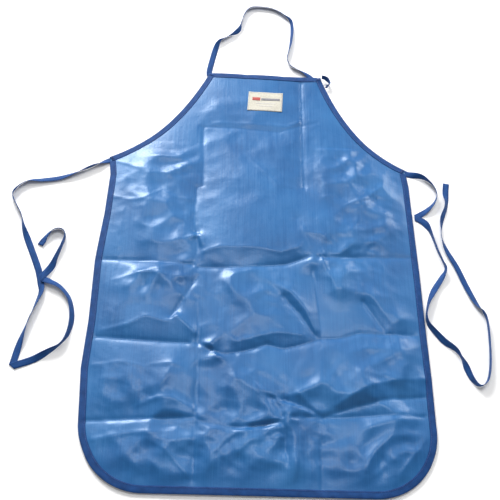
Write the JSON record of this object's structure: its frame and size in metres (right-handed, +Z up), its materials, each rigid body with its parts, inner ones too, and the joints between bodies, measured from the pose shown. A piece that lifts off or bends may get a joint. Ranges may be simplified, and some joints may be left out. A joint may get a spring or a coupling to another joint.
{
  "type": "bib apron",
  "caption": "Wipe-clean bib apron of coated blue fabric with taped edges, a sewn neck strap and two waist ties, lying flat.",
  "frame": {"origin": "on the surface the apron lies on, under the middle of the apron without its free tapes", "axes": "+X to the right, +Y from the hem towards the bib's top edge, +Z up out of the apron's face"},
  "size_m": [0.9112, 1.1305, 0.0127],
  "materials": {
    "coated_fabric": "shiny coated weave",
    "binding_tape": "woven tape",
    "strap_tape": "woven tape, folded and sewn",
    "sewing_thread": "spun thread",
    "label_cloth": "woven label"
  },
  "bodies": {
    "apron": {"apron_panel": "coated_fabric", "top_binding": "binding_tape", "hem_binding": "binding_tape", "left_armhole_binding": "binding_tape", "right_armhole_binding": "binding_tape", "top_binding_stitching": "sewing_thread", "hem_binding_stitching": "sewing_thread", "left_armhole_stitching": "sewing_thread", "right_armhole_stitching": "sewing_thread", "left_waist_bar_tack": "sewing_thread", "right_waist_bar_tack": "sewing_thread", "left_bib_bar_tack": "sewing_thread", "right_bib_bar_tack": "sewing_thread", "neck_loop": "strap_tape", "label": "label_cloth", "label_stitching": "sewing_thread"},
    "left_tie": {"left_waist_tie": "strap_tape", "left_tie_end_tack": "sewing_thread"},
    "right_tie": {"right_waist_tie": "strap_tape", "right_tie_end_tack": "sewing_thread"},
    "neck_strap": {"neck_strap": "strap_tape"}
  },
  "joints": [
    {"name": "left_tie_lift", "type": "hinge", "parent": "apron", "child": "left_tie", "pos_m": [-0.30216, 0.20931, 0.0027], "axis": [-0.4885, 0.8726, 0], "range_deg": [0, 110]},
    {"name": "right_tie_lift", "type": "hinge", "parent": "apron", "child": "right_tie", "pos_m": [0.30216, 0.20931, 0.0027], "axis": [-0.4885, -0.8726, 0], "range_deg": [0, 110]},
    {"name": "neck_strap_lift", "type": "hinge", "parent": "apron", "child": "neck_strap", "pos_m": [0, 0.4573, 0.0027], "axis": [1, 0, 0], "range_deg": [0, 150]}
  ]
}
